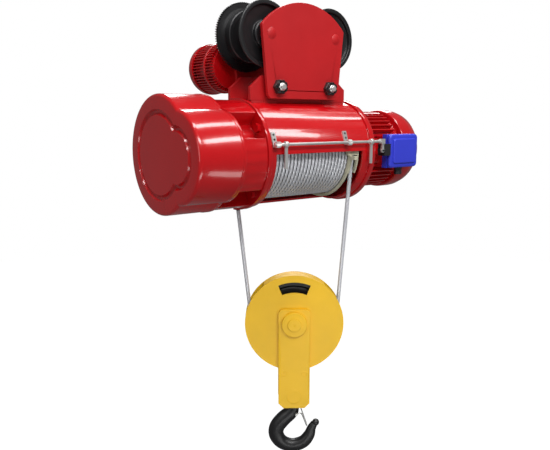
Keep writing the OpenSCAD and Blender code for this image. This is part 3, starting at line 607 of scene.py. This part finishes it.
def make_latch():
    """Safety latch bent from wire: it turns on the pin through the hook and closes onto the tip."""
    pin = (8, -306)
    tip = (41.5, -349)
    bow, eye, end = 19.5, 24.0, 8.0
    leg = [
        (pin[0], -eye, pin[1]), (pin[0] + 3, -eye, pin[1] + 3), (pin[0] + 14, -bow, pin[1] + 4),
        (pin[0] + 20, -0.8 * bow, pin[1] - 7), (tip[0] - 2, -end - 1, tip[1] + 4), (tip[0], -end + 2, tip[1]),
    ]
    line = leg + [(x, -y, z) for x, y, z in reversed(leg)]
    curve = smooth_line(line, 8)
    around, wire_r = 12, 1.9
    points = []
    for i, point in enumerate(curve):
        along = curve[min(i + 1, len(curve) - 1)] - curve[max(i - 1, 0)]
        along = along / np.linalg.norm(along)
        side = np.cross(along, (0.3, 0.0, 1.0))
        side = side / np.linalg.norm(side)
        up = np.cross(side, along)
        for k in range(around):
            a = 2 * math.pi * k / around
            points.append(tuple(point + wire_r * (math.cos(a) * side + math.sin(a) * up)))
    faces = rings_to_faces(len(curve), around) + end_caps(len(curve), around)
    wire = mesh_object("latch_wire", points, faces, HOOK)
    finish_piece(wire, zinc, "safety_latch", ["latch"], 60)
    rod = [(0, -26), (2.9, -26), (3.4, -25.5), (3.4, 25.5), (2.9, 26), (0, 26)]
    pin_rod = lathe("latch_pin", rod, pin, "Y", 32, HOOK)
    finish_piece(pin_rod, zinc, "safety_latch")


# ---- turned and pressed pieces -------------------------------------------------------------------


def make_wheels():
    """Front wheels: rounded flange ring, dished face and hub. The toothed rear wheels are the frame's own."""
    profile = [
        (20, -22), (32, -22), (32, -26), (58, -26), (58, -20), (68, -20), (70, -22), (70, -44),
        (84, -45.5), (87.5, -47), (87.5, -51.5), (86, -53), (76, -53), (74, -44), (36, -40), (36, -49),
        (32, -51), (20, -51),
    ]
    for side in ("left", "right"):
        node = f"wheel_front_{side}"
        low, high = box_mm(node)
        centre = centre_xz(low, high)
        wheel = lathe(f"{node}_turned", rounded(profile, 2.5), centre, "Y", 160)
        finish_piece(wheel, black_cast, "wheel_f" + side[0], [node], 60)


def make_sheave_axle():
    """Axle of the sheave with a stepped boss at each end, and a centre hole in its faces."""
    front = [
        (0, -44.4), (3, -46), (20, -46), (20, -43), (38, -43), (38, -36), (25, -36),
    ]
    profile = front + [(radius, -y) for radius, y in reversed(front)]
    corner = 5  # points that rounded() makes of each corner; the two on the axis stay sharp
    profile = [profile[0]] + rounded(profile, 2.0)[corner:-corner] + [profile[-1]]
    axle = lathe("sheave_axle_bosses", profile, (0, 0), "Y", 128, BLOCK)
    finish_piece(axle, yellow_paint, "hook_block", ["sheave_axle"], 60)


def rounded_rectangle(x0, x1, z0, z1, r, steps=8):
    outline = []
    corners = ((x1 - r, z1 - r, 0), (x0 + r, z1 - r, 90), (x0 + r, z0 + r, 180), (x1 - r, z0 + r, 270))
    for cx, cz, start in corners:
        for i in range(steps + 1):
            a = math.radians(start + 90 * i / steps)
            outline.append((cx + r * math.cos(a), cz + r * math.sin(a)))
    return outline


def make_terminal_cover():
    """Cast cover with round corners, a raised panel, and its foot against the terminal box."""
    low, high = box_mm("terminal_cover")
    outline = rounded_rectangle(low.x, high.x, low.z, high.z, 12)
    lid = extrude("terminal_cover_lid", outline, low.y + 5, high.y, "Y", 6.0)
    finish_piece(lid, blue_paint, "root", ["terminal_cover"])
    margin = 13
    outline = rounded_rectangle(low.x + margin, high.x - margin, low.z + margin, high.z - margin, 8)
    panel = extrude("terminal_cover_panel", outline, low.y, low.y + 7, "Y", 3.5)
    finish_piece(panel, blue_paint, "root")


def make_travel_cap():
    """Domed end cap of the travel motor, with a lip over the frame."""
    low, high = box_mm("travel_motor_cap")
    outer = (high.x - low.x) / 2
    straight, shoulder, lip, lip_depth = 9, 32, 6, 4
    rise = high.y - low.y - straight
    dome = [(0, low.y + lip_depth), (outer - lip, low.y + lip_depth), (outer - lip, low.y), (outer, low.y)]
    for i in range(13):
        a = math.pi / 2 * i / 12
        dome.append((outer - shoulder + shoulder * math.cos(a), high.y - rise + rise * math.sin(a)))
    dome.append((0, high.y))
    cap = lathe("travel_motor_dome", dome, centre_xz(low, high), "Y", 128)
    finish_piece(cap, red_gloss, "root", ["travel_motor_cap"], 50)


def arc_piece(name, x0, x1, r0, r1, start, end, bevel):
    """A piece of ring round the drum's axis, between two angles in degrees in the (y, z) plane."""
    steps = max(4, round(abs(end - start) / 3))
    angles = [math.radians(start + (end - start) * i / steps) for i in range(steps + 1)]
    outline = [(r1 * math.cos(a), DRUM_Z + r1 * math.sin(a)) for a in angles]
    outline += [(r0 * math.cos(a), DRUM_Z + r0 * math.sin(a)) for a in reversed(angles)]
    piece = extrude(name, outline, x0, x1, "X", bevel)
    return finish_piece(piece, khaki_paint, "guide")


def make_rope_guide():
    """Guide block with the slot for the rope, its lug, and the thin ring that runs round the drum."""
    low, high = box_mm("rope_guide")
    r0, r1 = 129.2, 138.4
    ring_x0, ring_x1 = low.x + 10, low.x + 16
    block = arc_piece("guide_block", low.x, high.x, r0, r1, start=160, end=183, bevel=0.8)
    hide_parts("rope_guide", "guide_ring")
    arc_piece("guide_leg_left", low.x + 8, low.x + 18.5, r0, r1, start=182, end=206, bevel=0.8)
    arc_piece("guide_leg_right", high.x - 5, high.x, r0, r1, start=182, end=206, bevel=0.8)
    arc_piece("guide_ring_turned", ring_x0, ring_x1, r0, r1 - 1, start=204, end=520, bevel=0.6)
    front, back, bottom, top = -158.5, -136, DRUM_Z - 20, DRUM_Z - 9
    outline = [(front, bottom), (back, bottom), (back, top), (front, top)]
    lug = extrude("guide_lug", outline, low.x + 7, low.x + 18, "X", 1.2)
    finish_piece(lug, khaki_paint, "guide")


TRAVEL_FINS = 52
FIN_ROOT = 58.0


def fin_outline(centre, numbers, fin):
    """Outline of fins, given each fin's (turn, radius) points, where a turn of 1 is one fin's share."""
    outline = []
    for i in numbers:
        for turn, r in fin:
            a = 2 * math.pi * (i + turn) / TRAVEL_FINS
            outline.append((centre[0] + r * math.cos(a), centre[1] + r * math.sin(a)))
    return outline


def make_travel_frame():
    """Finned body of the travel motor, and the flange that joins it to the gear case."""
    low, high = box_mm("travel_motor_frame")
    centre = centre_xz(low, high)
    tip = (high.x - low.x) / 2 - 0.5
    fin = [
        (-0.30, FIN_ROOT), (-0.18, tip - 0.8), (-0.10, tip), (0.10, tip), (0.18, tip - 0.8), (0.30, FIN_ROOT),
    ]
    outline = fin_outline(centre, range(TRAVEL_FINS), fin)
    fins = extrude("travel_motor_fins", outline, low.y + 8, high.y - 0.5, "Y")
    finish_piece(fins, red_gloss, "root", ["travel_motor_frame"], 30)
    rim = [(14, low.y), (tip + 1, low.y), (tip + 1, low.y + 9), (14, low.y + 9)]
    flange = lathe("travel_motor_flange", rounded(rim, 1.5), centre, "Y", 96)
    finish_piece(flange, red_gloss, "root")


def make_travel_ribs():
    """Cooling ribs round the motor's end of the travel gear case."""
    low, high = box_mm("travel_gear_case")
    centre = centre_xz(*box_mm("travel_motor_frame"))
    inner, tip = 50.0, 68.5
    ribs_at = range(round(TRAVEL_FINS * 0.27), round(TRAVEL_FINS * 0.80) + 1)
    fin = [(-0.30, FIN_ROOT), (-0.14, tip), (0.14, tip), (0.30, FIN_ROOT)]
    outline = fin_outline(centre, ribs_at, fin)
    outline += fin_outline(centre, reversed(ribs_at), [(0.0, inner)])
    ribs = extrude("travel_case_ribs", outline, low.y + 6, high.y + 0.5, "Y")
    finish_piece(ribs, red_gloss, "root", (), 30)


def make_bracket_screws():
    """Dark screw heads that hold the limit rod's brackets to the drum casing."""
    low, high = box_mm("rod_brackets")
    bracket_turn = math.radians(-18.9)
    tilt = Matrix.Translation((0, 0, DRUM_Z)) @ Matrix.Rotation(bracket_turn, 4, "X")
    r, top, seat = 2.9, -152.4, -149
    line = [(0, top), (r, top), (r, seat), (0, seat)]
    for side, x in (("left", low.x + 7), ("right", high.x - 7)):
        for place, h in (("lower", -6), ("upper", 7)):
            head = lathe(f"bracket_screw_{side}_{place}", line, (x, h), "Y", 32, tilt)
            finish_piece(head, black_cast, "root")


def make_trolley_details():
    """Ends of the wheel axles in the front plate, and the welds under the hanger plates."""
    front = box_mm("trolley_plate_front")[0].y
    r, proud = 14.5, 0.9
    disc = [(0, front + 1), (r, front + 1), (r, front - 0.2), (r - 0.9, front - proud), (0, front - proud)]
    for name in ("left", "right"):
        centre = centre_xz(*box_mm(f"wheel_front_{name}"))
        end = lathe(f"axle_end_{name}", disc, centre, "Y", 64)
        finish_piece(end, red_satin, "root")
    for name, side in (("front", -1), ("rear", 1)):
        low, high = box_mm(f"hanger_{name}")
        inner, outer, top, bottom = side * 45, side * 53, -103.5, -109.5
        outline = [(inner, top), (outer, top), (outer + side, bottom), (inner, bottom)]
        weld = extrude(f"hanger_weld_{name}", outline, low.x + 2, high.x - 2, "X")
        finish_piece(weld, red_satin, "root")


def make_tie_bolts():
    """Tie bolts with turned-down ends, which stand out of the castle nuts."""
    low, high = box_mm("tie_bolts")
    r = (high.z - low.z) / 2
    neck = 8.0
    ends = [(neck - 1.2, 0), (neck, 1.2), (neck, 5.5), (r - 1, 6.5), (r, 8)]
    profile = [(0, low.y)] + [(radius, low.y + y) for radius, y in ends]
    profile += [(radius, high.y - y) for radius, y in reversed(ends)] + [(0, high.y)]
    for name, x in (("left", low.x + r), ("right", high.x - r)):
        bolt = lathe(f"tie_bolt_{name}", profile, (x, (low.z + high.z) / 2), "Y", 64)
        finish_piece(bolt, zinc, "root", ["tie_bolts"] if name == "left" else (), 40)


def make_strap_marks():
    """Rims pressed round the trunnions of the crosshead and the ends of the spacers, on both straps."""
    marks = (
        ("trunnion", 0.0, TRUNNION_Z, 21.0),
        ("spacer_left", -SPACER_X, SPACER_Z, 7.4),
        ("spacer_right", SPACER_X, SPACER_Z, 7.4),
    )
    for side, out in (("front", -1), ("rear", 1)):
        sunk, proud = out * (STRAP_FACE - 0.6), out * (STRAP_FACE + 0.7)
        for name, x, z, r in marks:
            rim = [(r - 1.2, sunk), (r - 0.6, proud), (r + 0.6, proud), (r + 1.4, sunk)]
            ring = lathe(f"{name}_rim_{side}", rim, (x, z), "Y", 64, BLOCK)
            finish_piece(ring, yellow_paint, "hook_block", (), 60)


def make_fan_cover():
    """Pressed fan cover: rounded shoulder, and an end grille of rings and spokes."""
    low, high = box_mm("fan_cover")
    r = (high.z - low.z) / 2
    x0, x1 = low.x, high.x
    grille_r, sheet = r - 27, 4
    seat_r = 102
    profile = [
        (seat_r, x0), (seat_r, x0 + 8), (r, x0 + 8), (r, x1 - 38), (r - 7, x1 - 13), (r - 16, x1),
        (grille_r, x1), (grille_r, x1 - sheet), (r - 18, x1 - sheet), (r - 11, x1 - 14),
        (r - sheet, x1 - 39), (r - sheet, x0 + 12), (seat_r - sheet, x0 + 12), (seat_r - sheet, x0),
    ]
    shell = lathe("fan_cover_shell", rounded(profile, 5.0), (0, DRUM_Z), "X", 160)
    finish_piece(shell, red_gloss, "root", ["fan_cover"], 50)
    first_r, pitch, half = 24, 11.2, 2.2
    back, front = x1 - 3.6, x1 - 0.6
    for i in range(7):
        ring_r = first_r + pitch * i
        r0, r1 = ring_r - half, ring_r + half
        bar = [(r0, back), (r1, back), (r1, front), (r0, front)]
        ring = lathe(f"fan_grille_ring_{i + 1}", rounded(bar, 1.2, 3), (0, DRUM_Z), "X", 128)
        finish_piece(ring, red_gloss, "root", (), 60)
    hub_line = [(0, x1 - 4), (22, x1 - 4), (22, x1 - 1.5), (20, x1), (0, x1)]
    hub = lathe("fan_grille_hub", hub_line, (0, DRUM_Z), "X", 96)
    finish_piece(hub, red_gloss, "root")
    for i in range(4):
        turn = Matrix.Translation((0, 0, DRUM_Z)) @ Matrix.Rotation(math.pi / 4 + math.pi / 2 * i, 4, "X")
        outline = [(18, -4), (grille_r + 2, -4), (grille_r + 2, 4), (18, 4)]
        spoke = extrude(f"fan_grille_spoke_{i + 1}", outline, x1 - 4.2, x1 - 1.2, "X", 0.8, turn)
        finish_piece(spoke, red_gloss, "root")


# ---- stage ---------------------------------------------------------------------------------------


def area_light(name, place, target, size, power):
    data = bpy.data.lights.new(name, "AREA")
    data.shape = "RECTANGLE"
    data.size, data.size_y = size
    data.energy = power
    obj = bpy.data.objects.new(name, data)
    obj.location = place
    obj.rotation_euler = (Vector(target) - Vector(place)).to_track_quat("-Z", "Y").to_euler()
    bpy.context.scene.collection.objects.link(obj)


def seen_only(obj):
    """The camera sees the object, but it neither lights nor shades the hoist."""
    obj.visible_diffuse = False
    obj.visible_glossy = False
    obj.visible_transmission = False
    obj.visible_shadow = False


def plain_white(name, base, glow):
    made, nodes, _ = new_material(name)
    shader = nodes["Principled BSDF"]
    shader.inputs["Base Color"].default_value = (base, base, base, 1)
    shader.inputs["Roughness"].default_value = 0.9
    shader.inputs["Specular IOR Level"].default_value = 0.0
    shader.inputs["Emission Color"].default_value = (1, 1, 1, 1)
    shader.inputs["Emission Strength"].default_value = glow
    return made


FLOOR_R, BACKDROP_R = 32, 34
UNDER_HOOK = 0.25


def make_stage():
    """Camera, white floor and backdrop, and the lights; all of these lengths are in metres."""
    scene = bpy.context.scene
    data = bpy.data.cameras.new("camera")
    data.sensor_width = 36.0
    data.lens = 40.0
    camera = bpy.data.objects.new("camera", data)
    camera.location = (-1.1228, -1.3982, -0.1508)
    camera.rotation_euler = (math.radians(80.1), 0, math.radians(-37.6))
    scene.collection.objects.link(camera)
    scene.camera = camera
    scene.view_settings.view_transform = "Standard"

    # The floor lies below the lowered hook, and the backdrop holds the camera in every view
    floor_z = cad_box[0].z - LIFT - UNDER_HOOK
    bpy.ops.mesh.primitive_circle_add(vertices=96, radius=FLOOR_R, fill_type="NGON", location=(0, 0, floor_z))
    floor = bpy.context.object
    floor.name = "floor"
    floor.data.materials.append(plain_white("pale_floor", 0.85, 0.95))
    seen_only(floor)
    bpy.ops.mesh.primitive_uv_sphere_add(segments=64, ring_count=32, radius=BACKDROP_R)
    backdrop = bpy.context.object
    backdrop.name = "backdrop"
    backdrop.data.materials.append(plain_white("white_backdrop", 0.0, 1.0))
    seen_only(backdrop)

    world = bpy.data.worlds.new("studio")
    scene.world = world
    world.use_nodes = True
    sky = world.node_tree.nodes["Background"]
    sky.inputs["Color"].default_value = (1, 1, 1, 1)
    sky.inputs["Strength"].default_value = 0.15

    for light in (
        ("key", (-0.5, -2.6, 1.9), (0.0, 0.0, -0.35), (3.2, 0.6), 88),
        ("strip", (0.0, -0.6, 2.1), (0, 0, -0.2), (3.6, 0.4), 52),
        ("side", (-3.0, -0.6, 0.3), (-0.3, 0, -0.3), (0.7, 1.6), 12),
        ("below", (-0.7, -1.9, -1.7), (-0.1, 0, -0.25), (2.6, 0.5), 14),
        ("back", (1.6, 1.9, 1.3), (0, 0, -0.1), (1.8, 1.2), 52),
    ):
        area_light(*light)


make_stage()
make_gear_cover()
make_rope()
make_hook()
make_latch()
make_wheels()
make_rope_guide()
make_sheave_axle()
make_terminal_cover()
make_travel_frame()
make_travel_cap()
make_travel_ribs()
make_bracket_screws()
make_trolley_details()
make_tie_bolts()
make_strap_marks()
make_fan_cover()
